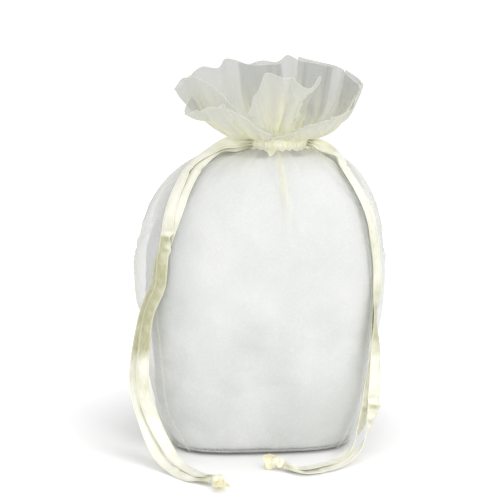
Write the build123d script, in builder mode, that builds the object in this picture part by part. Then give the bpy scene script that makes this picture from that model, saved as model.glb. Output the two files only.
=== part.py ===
"""Drawstring gift pouch of sheer ribbon-tied fabric, in millimetres.

The pouch stands on its flat base with its front towards -Y. The origin is the base's centre on the ground.
A padded body carries a neck of eight gathers. Each gather slides outward and upward as the mouth opens. Two
ribbons run round the neck inside the casing, and each leaves it at one side as a pair of strands with a knot.
"""

import os
from math import atan2, cos, degrees, hypot, radians, sin

from build123d import *

# Fabric and clearances
FABRIC = 0.8
SEAM_WIDTH = 2.4
SEAM_PROUD = 0.5
PADDING_GAP = 0.9
PADDING_FOOT_GAP = 0.3
PADDING_THICKNESS = 5.2
PADDING_TOP = 146.0

# Body outline: height, half width, half depth, squareness of the section and sideways lean
STATIONS = [
    (0.8, 45.0, 35.0, 3.6, 0.0),
    (12.0, 50.8, 38.8, 3.3, 0.0),
    (32.0, 56.4, 42.0, 3.0, 0.0),
    (60.0, 60.6, 44.5, 2.8, 0.0),
    (86.0, 62.8, 45.0, 2.7, 0.0),
    (108.0, 60.2, 43.2, 2.5, 1.0),
    (123.0, 55.8, 39.5, 2.4, 2.0),
    (134.0, 49.2, 35.0, 2.2, 3.0),
    (142.0, 41.0, 30.5, 2.1, 4.2),
    (147.5, 31.0, 25.0, 2.0, 5.2),
    (150.4, 17.5, 17.0, 2.0, 6.0),
]
SECTION_POINTS = 24

# Neck: eight gathers round a centre that leans a little to the right
NECK_X = 6.0
GATHERS = ["right", "back_right", "back", "back_left", "left", "front_left", "front", "front_right"]
GATHER_STEP = 360 / len(GATHERS)
GATHER_GAP = 1.2
CASING_INNER = 6.0
CASING_OUTER = 15.5
CASING_LOW = 151.0
CASING_HIGH = 160.0
TUNNEL_INNER = 11.6
TUNNEL_OUTER = 14.4
TUNNEL_MARGIN = 1.0
THREAD = 0.25
EXIT_WIDTH = 5.2
EXIT_DEPTH = 3.0

# Frill above the casing
FRILL_FOOT = 14.0
FRILL_RIM = 46.0
FRILL_RIM_HEIGHT = 191.0
FRILL_THICKNESS = 1.0

# Satin ribbon
RIBBON_WIDTH = 6.35
RIBBON_THICKNESS = 0.5
KNOT_SHARE = 0.45
UNDER_GAP = 1.3
OVER_GAP = 2.4
LINK_GAP = 0.8
KNOT_RADIUS = 3.2
KNOT_END_GAP = 0.3
KNOT_END_LENGTH = 6.5
KNOT_END_SPREAD = 24
KNOT_END_SHARE = 0.8

os.makedirs("parts", exist_ok=True)


def finish(builder, name):
    """Labels a finished piece and writes it as its own node."""
    builder.part.label = name
    export_step(builder.part, f"parts/{name}.step")


def station_at(height):
    """Section dimensions at a height, in proportion between the two nearest stations."""
    below = STATIONS[0]
    for above in STATIONS[1:]:
        if height <= above[0]:
            share = max(0.0, (height - below[0]) / (above[0] - below[0]))
            return [low + share * (high - low) for low, high in zip(below, above)]
        below = above
    return list(STATIONS[-1])


def section_radius(angle, half_width, half_depth, square):
    """Distance from the section's centre to its rounded-box outline in one direction."""
    across = abs(cos(radians(angle)) / half_width) ** square
    along = abs(sin(radians(angle)) / half_depth) ** square
    return (across + along) ** (-1 / square)


def on_skin(angle, height, gap):
    """Point outside the body's skin, in a plan direction from the section's centre."""
    _, half_width, half_depth, square, lean = station_at(height)
    reach = section_radius(angle, half_width, half_depth, square) + gap
    return (lean + reach * cos(radians(angle)), reach * sin(radians(angle)), height)


def section_outline(station, inset):
    """Plan points round one station's rounded-box outline, drawn in by an inset."""
    _, half_width, half_depth, square, lean = station
    points = []
    for step in range(SECTION_POINTS):
        angle = 360 * step / SECTION_POINTS
        reach = section_radius(angle, half_width - inset, half_depth - inset, square)
        points.append((lean + reach * cos(radians(angle)), reach * sin(radians(angle))))
    return points


def body_block(inset):
    """Solid body, lofted through every station, with its sections drawn in by an inset."""
    with BuildPart() as block:
        for station in STATIONS:
            with BuildSketch(Plane.XY.offset(station[0])):
                with BuildLine():
                    Spline(*section_outline(station, inset), periodic=True)
                make_face()
        loft()
    return block.part


# Body fabric: four wall panels, the seams that join them at the corners, and the base

proud_block = body_block(-SEAM_PROUD)
outer_block = body_block(0)
inner_block = body_block(FABRIC)

CORNER = degrees(atan2(STATIONS[0][2], STATIONS[0][1]))
WALL_REACH = 120.0
WALLS = {
    "right_gusset": (-CORNER, CORNER),
    "back_panel": (CORNER, 180 - CORNER),
    "left_gusset": (180 - CORNER, 180 + CORNER),
    "front_panel": (180 + CORNER, 360 - CORNER),
}
SEAMS = {
    "seam_back_right": CORNER,
    "seam_back_left": 180 - CORNER,
    "seam_front_left": 180 + CORNER,
    "seam_front_right": 360 - CORNER,
}


def corner_slab(angle):
    """Upright slab along a corner direction, as wide as a seam."""
    with BuildPart() as slab:
        with BuildSketch(Plane.XY.rotated((0, 0, angle))):
            with Locations((WALL_REACH / 2, 0)):
                Rectangle(WALL_REACH, SEAM_WIDTH)
        extrude(amount=CASING_LOW)
    return slab.part


def wall_wedge(first, last):
    """Upright wedge between two plan directions from the centre line."""
    middle = (first + last) / 2
    turns = [radians(turn) for turn in (first, middle, last)]
    corners = [(WALL_REACH * cos(turn), WALL_REACH * sin(turn)) for turn in turns]
    with BuildPart() as wedge:
        with BuildSketch(Plane.XY):
            with BuildLine():
                Polyline((0, 0), *corners, close=True)
            make_face()
        extrude(amount=CASING_LOW)
    return wedge.part


slabs = {name: corner_slab(angle) for name, angle in SEAMS.items()}

for name, (first, last) in WALLS.items():
    wedge = wall_wedge(first, last)
    with BuildPart() as wall:
        add(outer_block)
        add(inner_block, mode=Mode.SUBTRACT)
        add(wedge, mode=Mode.INTERSECT)
        for slab in slabs.values():
            add(slab, mode=Mode.SUBTRACT)
    finish(wall, name)

for name, slab in slabs.items():
    with BuildPart() as seam:
        add(proud_block)
        add(inner_block, mode=Mode.SUBTRACT)
        add(slab, mode=Mode.INTERSECT)
    finish(seam, name)

with BuildPart() as base_panel:
    with BuildSketch(Plane.XY):
        with BuildLine():
            Spline(*section_outline(STATIONS[0], 0), periodic=True)
        make_face()
    extrude(amount=FABRIC)
finish(base_panel, "base_panel")

with BuildPart() as base_seam:
    with BuildSketch(Plane.XY):
        with BuildLine():
            Spline(*section_outline(STATIONS[0], -SEAM_PROUD - FABRIC), periodic=True)
        make_face()
        with BuildLine():
            Spline(*section_outline(STATIONS[0], 0), periodic=True)
        make_face(mode=Mode.SUBTRACT)
    extrude(amount=FABRIC)
finish(base_seam, "base_seam")

# White tissue padding: a thick lining inside the fabric that leaves the gift space free

padding_block = body_block(FABRIC + PADDING_GAP)
gift_space = body_block(FABRIC + PADDING_GAP + PADDING_THICKNESS)

with BuildPart() as gift_block:
    add(gift_space)
    split(bisect_by=Plane.XY.offset(FABRIC + PADDING_THICKNESS), keep=Keep.TOP)

with BuildPart() as padding:
    add(padding_block)
    add(gift_block.part, mode=Mode.SUBTRACT)
    split(bisect_by=Plane.XY.offset(PADDING_TOP), keep=Keep.BOTTOM)
    split(bisect_by=Plane.XY.offset(FABRIC + PADDING_FOOT_GAP), keep=Keep.TOP)
finish(padding, "tissue_padding")

# Neck: each gather holds a length of casing, its stitching, the ribbons inside it and a petal of the frill


def ring_piece(angle, profile):
    """Turns an upright profile through one gather's share of the ring, about the neck's centre."""
    half_gap = degrees(GATHER_GAP / 2 / CASING_OUTER)
    start = radians(angle - GATHER_STEP / 2 + half_gap)
    outward = (cos(start), sin(start), 0)
    plane = Plane(origin=(NECK_X, 0, 0), x_dir=outward, z_dir=(sin(start), -cos(start), 0))
    section = profile(plane)
    with BuildPart() as piece:
        add(section)
        revolve(axis=Axis((NECK_X, 0, 0), (0, 0, 1)), revolution_arc=GATHER_STEP - 2 * half_gap)
    return piece


def casing_profile(plane):
    """Box-shaped wall round the tunnel that the ribbons run in."""
    middle = (CASING_LOW + CASING_HIGH) / 2
    with BuildSketch(plane) as section:
        with Locations(((CASING_INNER + CASING_OUTER) / 2, middle)):
            Rectangle(CASING_OUTER - CASING_INNER, CASING_HIGH - CASING_LOW)
        with Locations(((TUNNEL_INNER + TUNNEL_OUTER) / 2, middle)):
            tunnel_height = CASING_HIGH - CASING_LOW - 2 * TUNNEL_MARGIN
            Rectangle(TUNNEL_OUTER - TUNNEL_INNER, tunnel_height, mode=Mode.SUBTRACT)
    return section.sketch


def ribbon_profile(plane):
    """Two flat ribbons side by side in the tunnel."""
    middle = (CASING_LOW + CASING_HIGH) / 2
    with BuildSketch(plane) as section:
        for share in (0.3, 0.7):
            with Locations((TUNNEL_INNER + share * (TUNNEL_OUTER - TUNNEL_INNER), middle)):
                Rectangle(RIBBON_THICKNESS, RIBBON_WIDTH)
    return section.sketch


def stitching_profile(plane):
    """A row of thread along each edge of the casing."""
    with BuildSketch(plane) as section:
        for height in (CASING_LOW + TUNNEL_MARGIN / 2, CASING_HIGH - TUNNEL_MARGIN / 2):
            with Locations((CASING_OUTER + THREAD, height)):
                Circle(THREAD)
    return section.sketch


def frill_profile(plane):
    """Outward curving strip, with its foot on the casing and its free hem at the top."""
    lift = FRILL_THICKNESS / 2
    foot = CASING_HIGH + 0.2
    waist = (FRILL_FOOT + 12.5, 175.0)
    with BuildSketch(plane) as section:
        with BuildLine():
            inside = Spline(
                (FRILL_FOOT - FRILL_THICKNESS, foot),
                (waist[0] - lift, waist[1] + lift),
                (FRILL_RIM - lift, FRILL_RIM_HEIGHT + lift),
            )
            outside = Spline(
                (FRILL_RIM + lift, FRILL_RIM_HEIGHT - lift),
                (waist[0] + lift, waist[1] - lift),
                (FRILL_FOOT, foot),
            )
            Line(inside @ 1, outside @ 0)
            Line(outside @ 1, inside @ 0)
        make_face()
    return section.sketch


for number, gather in enumerate(GATHERS):
    angle = number * GATHER_STEP
    casing = ring_piece(angle, casing_profile)
    if gather in ("left", "right"):
        side = cos(radians(angle))
        exit_height = CASING_HIGH - CASING_LOW - 2 * TUNNEL_MARGIN
        with casing:
            with Locations((NECK_X + side * CASING_OUTER, 0, (CASING_LOW + CASING_HIGH) / 2)):
                Box(EXIT_DEPTH, EXIT_WIDTH, exit_height, mode=Mode.SUBTRACT)
    finish(casing, f"casing_{gather}")
    finish(ring_piece(angle, ribbon_profile), f"drawstrings_{gather}")
    finish(ring_piece(angle, stitching_profile), f"stitching_{gather}")
    finish(ring_piece(angle, frill_profile), f"frill_{gather}")

# Ribbons outside the casing. Each waypoint is a point and the plan direction of the ribbon's width.

EXIT_HEIGHT = 156.4


def laid(angle, height, gap):
    """Waypoint a true gap off the body's skin, with the ribbon's width along the skin's outline."""
    _, half_width, half_depth, square, lean = station_at(height)
    below = on_skin(angle, height - 1, 0)
    above = on_skin(angle, height + 1, 0)
    slope = hypot(above[0] - below[0], above[1] - below[1]) / 2
    x, y, z = on_skin(angle, height, gap * hypot(1, slope))
    pull_x = (abs(x - lean) / half_width) ** (square - 1) / half_width * (1 if x > lean else -1)
    pull_y = (abs(y) / half_depth) ** (square - 1) / half_depth * (1 if y > 0 else -1)
    return (x, y, z, degrees(atan2(pull_y, pull_x)) + 90)


LEFT_OVER = [
    (-8.4, 0.0, EXIT_HEIGHT, -90), (-19.5, -1.8, 158.4, -90), (-28.5, -5.5, 155.4, -84),
    laid(201, 142.5, OVER_GAP), laid(207, 133, OVER_GAP), laid(210.5, 123, OVER_GAP),
    laid(211, 112, OVER_GAP), laid(209, 100, OVER_GAP), laid(207.5, 87, OVER_GAP + 1),
    (-59.0, -31.5, 73.0, -46), (-60.5, -33.5, 56.0, -36), (-60.4, -36.0, 38.0, -20),
    (-58.0, -39.5, 22.0, 5), (-52.0, -44.0, 8.0, 30), (-46.5, -50.5, 2.4, 35),
    (-37.0, -64.5, 1.7, 35), (-28.8, -75.2, 3.2, 35),
]
LEFT_UNDER = [
    (-8.4, 0.0, EXIT_HEIGHT - 1.5, -90), (-19.5, -1.2, 155.6, -90), (-27.4, -4.8, 152.0, -84),
    laid(203, 142, UNDER_GAP), laid(210, 132.5, UNDER_GAP), laid(213, 123, UNDER_GAP),
    laid(212, 112, UNDER_GAP), laid(209, 100, UNDER_GAP), laid(206, 87, UNDER_GAP + 0.8),
    (-59.6, -28.4, 73.0, -46), (-62.6, -29.2, 56.0, -36), (-64.4, -31.8, 38.0, -20),
    (-64.2, -37.4, 22.0, 5), (-58.3, -46.2, 8.0, 30), (-53.2, -54.2, 2.4, 35),
    (-43.0, -69.0, 0.7, 35), (-31.6, -78.6, 2.2, 35),
]
RIGHT_OVER = [
    (20.5, 0.0, EXIT_HEIGHT, 90), (29.5, -2.4, 157.2, 88), laid(343, 147.0, OVER_GAP),
    laid(335, 140, OVER_GAP), laid(333, 130, OVER_GAP), laid(335, 121, OVER_GAP),
    laid(336, 110, OVER_GAP), laid(336, 98, OVER_GAP), laid(335, 84, OVER_GAP + 0.6),
    (59.0, -31.8, 67.0, 44), (59.8, -34.0, 50.0, 44), (60.2, -37.4, 34.0, 54),
    (57.8, -43.8, 20.0, 76), (50.8, -50.3, 8.0, 104), (44.5, -55.4, 2.4, 120),
    (33.0, -63.2, 0.8, 116), (20.0, -66.0, 0.8, 98), (9.4, -60.6, 2.2, 76),
]
RIGHT_UNDER = [
    (20.5, 0.0, EXIT_HEIGHT - 1.5, 90), (29.0, -1.2, 155.2, 88), laid(346, 146.8, UNDER_GAP),
    laid(337, 140, UNDER_GAP), laid(335, 130, UNDER_GAP), laid(336, 121, UNDER_GAP),
    laid(337, 110, UNDER_GAP), laid(336, 98, UNDER_GAP), laid(335, 84, UNDER_GAP),
    (58.0, -29.8, 67.0, 44), (57.8, -31.6, 50.0, 44), (56.8, -34.8, 34.0, 54),
    (53.6, -39.2, 20.0, 76), (48.2, -43.4, 8.0, 104), (41.6, -48.2, 2.4, 120),
    (31.0, -55.5, 1.8, 116), (18.5, -59.0, 1.8, 98), (9.6, -56.4, 3.1, 76),
]
RIBBONS = {
    "left": {"strands": (LEFT_OVER, LEFT_UNDER), "knot": (-25.5, -80.2, 3.4), "heading": -55},
    "right": {"strands": (RIGHT_OVER, RIGHT_UNDER), "knot": (4.6, -57.2, 3.4), "heading": 162},
}
# Links of a strand, by the waypoints where each begins
LINKS = {"shoulder": 0, "upper": 6, "side": 7, "floor": 13}


def strip(path, first, last):
    """Flat ribbon lofted through part of a path, with room for the next link at each joined end."""
    with BuildPart() as ribbon_strip:
        for index in range(first, last + 1):
            x, y, z, turn = path[index]
            ahead = Vector(*path[min(index + 1, len(path) - 1)][:3])
            behind = Vector(*path[max(index - 1, 0)][:3])
            along = (ahead - behind).normalized()
            origin = Vector(x, y, z)
            if index == first and first > 0:
                origin += along * (LINK_GAP / 2)
            if index == last and last < len(path) - 1:
                origin -= along * (LINK_GAP / 2)
            across = Vector(cos(radians(turn)), sin(radians(turn)), 0)
            across -= along * across.dot(along)
            width = RIBBON_WIDTH * (KNOT_SHARE if index in (0, len(path) - 1) else 1)
            with BuildSketch(Plane(origin=origin, x_dir=across, z_dir=along)):
                Rectangle(width, RIBBON_THICKNESS)
        loft()
    return ribbon_strip.part


def knot_end(knot_at, heading):
    """Short ribbon tail that widens as it leaves the knot in a plan direction."""
    ray = Vector(cos(radians(heading)), sin(radians(heading)), 0)
    across = Vector(-ray.Y, ray.X, 0)
    with BuildPart() as tail:
        for reach, share in ((KNOT_END_GAP, KNOT_SHARE), (KNOT_END_LENGTH, KNOT_END_SHARE)):
            origin = Vector(*knot_at) + ray * (KNOT_RADIUS + reach)
            with BuildSketch(Plane(origin=origin, x_dir=across, z_dir=ray)):
                Rectangle(RIBBON_WIDTH * share, RIBBON_THICKNESS)
        loft()
    return tail.part


for side, ribbon in RIBBONS.items():
    starts = list(LINKS.values()) + [len(ribbon["strands"][0]) - 1]
    for number, link in enumerate(LINKS):
        strips = [strip(path, starts[number], starts[number + 1]) for path in ribbon["strands"]]
        with BuildPart() as strands:
            for piece in strips:
                add(piece)
        finish(strands, f"{side}_ribbon_{link}")
    with BuildPart() as knot:
        with Locations(ribbon["knot"]):
            Sphere(KNOT_RADIUS)
    finish(knot, f"{side}_knot")
    headings = [ribbon["heading"] + turn for turn in (-KNOT_END_SPREAD, KNOT_END_SPREAD)]
    tails = [knot_end(ribbon["knot"], heading) for heading in headings]
    with BuildPart() as knot_ends:
        for piece in tails:
            add(piece)
    finish(knot_ends, f"{side}_knot_ends")
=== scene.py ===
"""Looks for the drawstring gift pouch: sheer organza over white tissue, a ruffled frill and satin ribbons.

Lengths are in millimetres until a mesh is made, directions are degrees in plan from +X, and the front of the
pouch faces -Y.
"""
import math

import bpy
import numpy as np
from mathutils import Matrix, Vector, noise
from mathutils.bvhtree import BVHTree


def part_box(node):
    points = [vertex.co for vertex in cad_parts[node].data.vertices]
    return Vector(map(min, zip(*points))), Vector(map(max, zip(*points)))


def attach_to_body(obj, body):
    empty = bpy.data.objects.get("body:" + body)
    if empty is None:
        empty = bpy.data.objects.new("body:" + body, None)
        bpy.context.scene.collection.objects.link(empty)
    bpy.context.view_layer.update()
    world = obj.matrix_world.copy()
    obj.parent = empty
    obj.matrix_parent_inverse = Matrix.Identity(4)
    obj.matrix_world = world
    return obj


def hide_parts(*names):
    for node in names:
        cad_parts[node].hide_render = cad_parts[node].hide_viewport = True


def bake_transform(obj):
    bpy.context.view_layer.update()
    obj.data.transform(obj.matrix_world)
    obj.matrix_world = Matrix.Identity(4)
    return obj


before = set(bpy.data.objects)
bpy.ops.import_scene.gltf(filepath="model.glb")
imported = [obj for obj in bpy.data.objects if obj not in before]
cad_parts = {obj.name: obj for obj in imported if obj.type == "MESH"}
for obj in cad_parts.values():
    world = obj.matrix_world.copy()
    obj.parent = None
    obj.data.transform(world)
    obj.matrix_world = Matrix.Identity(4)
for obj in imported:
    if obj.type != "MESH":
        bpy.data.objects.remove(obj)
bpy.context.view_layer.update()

MM = 0.001
# The neck's gathers in order of direction, one every STEP degrees.
GATHERS = ["right", "back_right", "back", "back_left", "left", "front_left", "front", "front_right"]
STEP = 45
HALF = STEP / 2
# The body's walls and corner seams in order of direction. Each seam lies between its own wall and the next.
WALLS = ["right_gusset", "back_panel", "left_gusset", "front_panel"]
SEAMS = ["seam_back_right", "seam_back_left", "seam_front_left", "seam_front_right"]


def box_mm(node):
    low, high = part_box(node)
    return low / MM, high / MM


def middle_mm(node):
    low, high = box_mm(node)
    return (low + high) / 2


# The photo's neck sits a little lower and further right than the CAD's casing.
CASING_LOW = box_mm("casing_front")[0].z - 1.3
CASING_HIGH = box_mm("casing_front")[1].z - 3.6
NECK_X = middle_mm("casing_front").x + 2.5
CASING_RADIUS = -box_mm("casing_front")[0].y
# The ribbons run in the middle of the casing.
EXIT_Z = (CASING_LOW + CASING_HIGH) / 2
SKIN_LOW = box_mm("front_panel")[0].z
SKIN_HIGH = box_mm("front_panel")[1].z
# Above this height the body's strips have the flaps tucked under their neighbours.
BEND_START = 100


# Numbers


def smooth(t):
    """Smooth step from 0 to 1."""
    t = np.clip(t, 0, 1)
    return t * t * (3 - 2 * t)


def bump(x, width):
    """Bell curve of height 1 about 0."""
    return np.exp(-((x / width) ** 2))


def turn_between(a, b):
    """Signed angle from b to a in degrees, within half a turn."""
    return (a - b + 180) % 360 - 180


def unit(rows):
    """Rows of numbers scaled to length 1."""
    return rows / np.maximum(np.linalg.norm(rows, axis=-1, keepdims=True), 1e-9)


def plan_way(angle):
    """Level unit vectors for directions in degrees."""
    turn = np.radians(angle)
    return np.stack([np.cos(turn), np.sin(turn), 0 * turn], axis=-1)


def between(p0, p1, p2, p3, t):
    """Catmull-Rom value a share t of the way from p1 to p2."""
    bend = 2 * p0 - 5 * p1 + 4 * p2 - p3
    twist = 3 * p1 - p0 - 3 * p2 + p3
    return (2 * p1 + (p2 - p0) * t + bend * t * t + twist * t ** 3) / 2


def curve_through(points, count):
    """Catmull-Rom curve through rows of numbers, sampled evenly along its control points."""
    points = np.array(points, float)
    ends = np.vstack([2 * points[0] - points[1], points, 2 * points[-1] - points[-2]])
    out = []
    for place in np.linspace(0, len(points) - 1, count):
        i = min(int(place), len(points) - 2)
        out.append(between(*ends[i:i + 4], place - i))
    return np.array(out)


def look_up(table, rows, place, step):
    """A table's values between its rows, some columns on from a place that wraps round."""
    low = np.clip(rows.astype(int), 0, len(table) - 2)
    part = rows - low
    column = (place.astype(int) + step) % table.shape[1]
    return table[low, column] * (1 - part) + table[low + 1, column] * part


def normals_of(grid):
    """Unit normals of a grid of points, rows by columns."""
    return unit(np.cross(np.gradient(grid, axis=1), np.gradient(grid, axis=0)))


def clouds(points, scale, seed):
    """Soft noise between -1 and 1 for an array of points."""
    start = Vector((seed, seed * 0.7, 0))
    roughness, lacunarity, octaves = 0.7, 2.1, 3
    flat = points.reshape(-1, 3)
    values = [noise.fractal(Vector(p) / scale + start, roughness, lacunarity, octaves) for p in flat]
    return np.array(values).reshape(points.shape[:-1])


def full_turn(count):
    """Angles in radians evenly round a circle."""
    return np.linspace(0, 2 * np.pi, count, endpoint=False)


def sweep(path, side, other, across, up):
    """Rows of points about a path, at distances along two vectors for each of its points."""
    return path[:, None] + side[:, None] * across[..., None] + other[:, None] * up[..., None]


# Body skin, read off the CAD walls

SKIN_STEP = 5
SKIN_ROWS = 96


def read_skin():
    """Centre and radius tables of the body's outside, by height and direction."""
    points, faces = [], []
    for node in WALLS + SEAMS:
        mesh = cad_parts[node].data
        first = len(points)
        points += [v.co / MM for v in mesh.vertices]
        faces += [[first + i for i in face.vertices] for face in mesh.polygons]
    tree = BVHTree.FromPolygons(points, faces)
    heights = np.linspace(SKIN_LOW + 0.4, SKIN_HIGH - 0.3, SKIN_ROWS)
    far = 150
    centres, radii = [], []
    for z in heights:
        right = tree.ray_cast(Vector((far, 0.3, z)), Vector((-1, 0, 0)))[0].x
        left = tree.ray_cast(Vector((-far, 0.3, z)), Vector((1, 0, 0)))[0].x
        centre = (right + left) / 2
        row = []
        for angle in np.radians(np.arange(0, 360, SKIN_STEP)):
            way = Vector((math.cos(angle), math.sin(angle), 0))
            hit = tree.ray_cast(Vector((centre, 0, z)) + way * far, -way)[0]
            row.append((hit - Vector((centre, 0, z))).length)
        centres.append(centre)
        radii.append(row)
    return heights, np.array(centres), np.array(radii)


SKIN_HEIGHTS, SKIN_CENTRES, SKIN_RADII = read_skin()


def skin_radius(angle, z):
    """Radius of the skin for arrays of directions in degrees and heights."""
    rows = np.interp(z, SKIN_HEIGHTS, np.arange(SKIN_ROWS))
    place = (np.asarray(angle) % 360) / SKIN_STEP
    near = [look_up(SKIN_RADII, rows, place, step) for step in (-1, 0, 1, 2)]
    return between(*near, place - place.astype(int))


def skin_point(angle, z, gap=0):
    """Points on the skin, or off it by a gap, for arrays of directions and heights."""
    angle, z = np.broadcast_arrays(np.asarray(angle, float), np.asarray(z, float))
    point = (skin_radius(angle, z) + gap)[..., None] * plan_way(angle)
    point[..., 0] += np.interp(z, SKIN_HEIGHTS, SKIN_CENTRES)
    point[..., 2] = z
    return point


# Mesh making


def mesh_object(name, grid, material, uv=None, tint=0, wrap=False):
    """Object from a grid of points in millimetres, with a tint and a place on the cloth's map for each."""
    rows, columns = grid.shape[:2]
    faces = []
    for r in range(rows - 1):
        for c in range(columns if wrap else columns - 1):
            d = (c + 1) % columns
            faces.append((r * columns + c, r * columns + d, (r + 1) * columns + d, (r + 1) * columns + c))
    mesh = bpy.data.meshes.new(name)
    mesh.from_pydata((grid.reshape(-1, 3) * MM).tolist(), [], faces)
    if uv is None:
        across = np.linalg.norm(np.diff(grid, axis=1), axis=2).mean(axis=0)
        up = np.linalg.norm(np.diff(grid, axis=0), axis=2).mean(axis=1)
        u, v = (np.concatenate([[0], np.cumsum(steps)]) for steps in (across, up))
        uv = np.stack(np.meshgrid(u, v), axis=-1)
    layer = mesh.uv_layers.new(name="cloth")
    loops = np.zeros(len(mesh.loops), int)
    mesh.loops.foreach_get("vertex_index", loops)
    layer.data.foreach_set("uv", uv.reshape(-1, 2)[loops].ravel())
    values = np.broadcast_to(tint, (rows, columns)).ravel().astype(np.float32)
    mesh.attributes.new("tint", "FLOAT", "POINT").data.foreach_set("value", values)
    mesh.polygons.foreach_set("use_smooth", [True] * len(mesh.polygons))
    mesh.materials.append(material)
    mesh.update()
    piece = bpy.data.objects.new(name, mesh)
    bpy.context.scene.collection.objects.link(piece)
    return piece


def join(name, pieces):
    """Joins objects into one and names it."""
    bpy.ops.object.select_all(action="DESELECT")
    for piece in pieces:
        piece.select_set(True)
    bpy.context.view_layer.objects.active = pieces[0]
    bpy.ops.object.join()
    pieces[0].name = pieces[0].data.name = name
    return pieces[0]


def attach(piece, body, node):
    """Fixes a finished piece to one body, in place of the CAD node it stands for."""
    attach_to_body(piece, body)
    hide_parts(node)


# The simulated copy of a cloth is enlarged, with one metre for each 50 mm, so that it suits these settings.
CLOTH_SCALE = 0.02
CLOTH = {
    "quality": 6, "mass": 0.15, "tension_stiffness": 18, "compression_stiffness": 18, "shear_stiffness": 6,
    "air_damping": 3, "vertex_group_mass": "pins", "pin_stiffness": 3,
}


def settled(grid, pins, spread, bending, frames, wrap=False):
    """Lets a sheet buckle as cloth whose weave is a share longer than its shape, held where pins near 1."""
    piece = mesh_object("settling", grid * CLOTH_SCALE / MM, ORGANZA, wrap=wrap)
    group = piece.vertex_groups.new(name="pins")
    for i, weight in enumerate(np.broadcast_to(pins, grid.shape[:2]).ravel()):
        group.add([i], float(weight), "REPLACE")
    cloth = piece.modifiers.new("cloth", "CLOTH")
    for key, value in CLOTH.items():
        setattr(cloth.settings, key, value)
    cloth.settings.bending_stiffness = bending
    cloth.settings.shrink_min = cloth.settings.shrink_max = -spread
    cloth.settings.effector_weights.gravity = 0
    cloth.collision_settings.use_collision = False
    cloth.point_cache.frame_start = 1
    cloth.point_cache.frame_end = frames
    scene = bpy.context.scene
    for number in range(1, frames + 1):
        scene.frame_set(number)
    made = piece.evaluated_get(bpy.context.evaluated_depsgraph_get()).data
    points = np.zeros(len(made.vertices) * 3)
    made.vertices.foreach_get("co", points)
    mesh = piece.data
    bpy.data.objects.remove(piece)
    bpy.data.meshes.remove(mesh)
    scene.frame_set(1)
    return points.reshape(grid.shape) / CLOTH_SCALE


def thicken(piece, thickness):
    """Gives a sheet a real thickness, as plain mesh."""
    solid = piece.modifiers.new("thickness", "SOLIDIFY")
    solid.thickness = thickness * MM
    solid.offset = 0
    bpy.context.view_layer.objects.active = piece
    bpy.ops.object.modifier_apply(modifier=solid.name)
    piece.data.set_sharp_from_angle(angle=math.radians(50))
    return piece


def tube(name, path, radius, material, tint=0):
    """Thin round cord along a path of points, narrowed at both ends so that it closes."""
    tilted = np.array([0.31, 0.17, 0.94])
    along = unit(np.gradient(path, axis=0))
    side = unit(np.cross(along, tilted))
    turns = full_turn(6)
    size = np.full(len(path), radius)
    size[0] = size[-1] = radius * 0.05
    across, up = np.outer(size, np.cos(turns)), np.outer(size, np.sin(turns))
    grid = sweep(path, side, np.cross(along, side), across, up)
    return mesh_object(name, grid, material, tint=tint, wrap=True)


# Materials


class Nodes:
    """Short way to write a material's nodes."""

    def __init__(self, name):
        self.material = bpy.data.materials.new(name)
        self.material.use_nodes = True
        self.tree = self.material.node_tree
        self.tree.nodes.clear()

    def add(self, kind, inputs=None, **settings):
        node = self.tree.nodes.new(kind)
        for key, value in settings.items():
            setattr(node, key, value)
        for key, value in (inputs or {}).items():
            if isinstance(value, bpy.types.NodeSocket):
                self.tree.links.new(value, node.inputs[key])
            else:
                node.inputs[key].default_value = value
        return node

    def maths(self, operation, a, b=0, c=0, clamp=False):
        inputs = {0: a, 1: b, 2: c}
        return self.add("ShaderNodeMath", inputs, operation=operation, use_clamp=clamp).outputs[0]

    def times(self, a, b, clamp=False):
        return self.maths("MULTIPLY", a, b, clamp=clamp)

    def plus(self, a, b, clamp=False):
        return self.maths("ADD", a, b, clamp=clamp)

    def mix(self, share, a, b):
        """Mixes two colours, each one a socket or its red, green and blue."""
        a, b = (value if isinstance(value, bpy.types.NodeSocket) else (*value, 1) for value in (a, b))
        return self.add("ShaderNodeMix", {0: share, 6: a, 7: b}, data_type="RGBA").outputs[2]

    def noise(self, vector, scale, detail=3, roughness=0.5):
        inputs = {"Vector": vector, "Scale": scale, "Detail": detail, "Roughness": roughness}
        return self.add("ShaderNodeTexNoise", inputs).outputs["Fac"]

    def range(self, value, low, high, to_low=0, to_high=1):
        inputs = {"Value": value, "From Min": low, "From Max": high, "To Min": to_low, "To Max": to_high}
        return self.add("ShaderNodeMapRange", inputs).outputs[0]

    def cloth_map(self):
        return self.add("ShaderNodeUVMap", uv_map="cloth").outputs[0]

    def place(self):
        return self.add("ShaderNodeTexCoord").outputs["Object"]

    def tint(self):
        return self.add("ShaderNodeAttribute", attribute_name="tint").outputs["Fac"]

    def split(self, vector):
        return self.add("ShaderNodeSeparateXYZ", {0: vector}).outputs

    def relief(self, height, strength, distance):
        inputs = {"Height": height, "Strength": strength, "Distance": distance}
        return self.add("ShaderNodeBump", inputs).outputs[0]

    def surface(self, base, rough, relief, settings):
        inputs = {"Base Color": base, "Roughness": rough, "Normal": relief, **settings}
        return self.add("ShaderNodeBsdfPrincipled", inputs).outputs[0]

    def glowing(self, share, surface, base, relief):
        """Lets a share of the light come through a surface."""
        glow = self.add("ShaderNodeBsdfTranslucent", {"Color": base, "Normal": relief}).outputs[0]
        return self.add("ShaderNodeMixShader", {0: share, 1: surface, 2: glow}).outputs[0]

    def finish(self, shader):
        self.add("ShaderNodeOutputMaterial", {"Surface": shader})
        return self.material


THREAD_PITCH = 0.42
RIB_PITCH = 0.6


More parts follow.
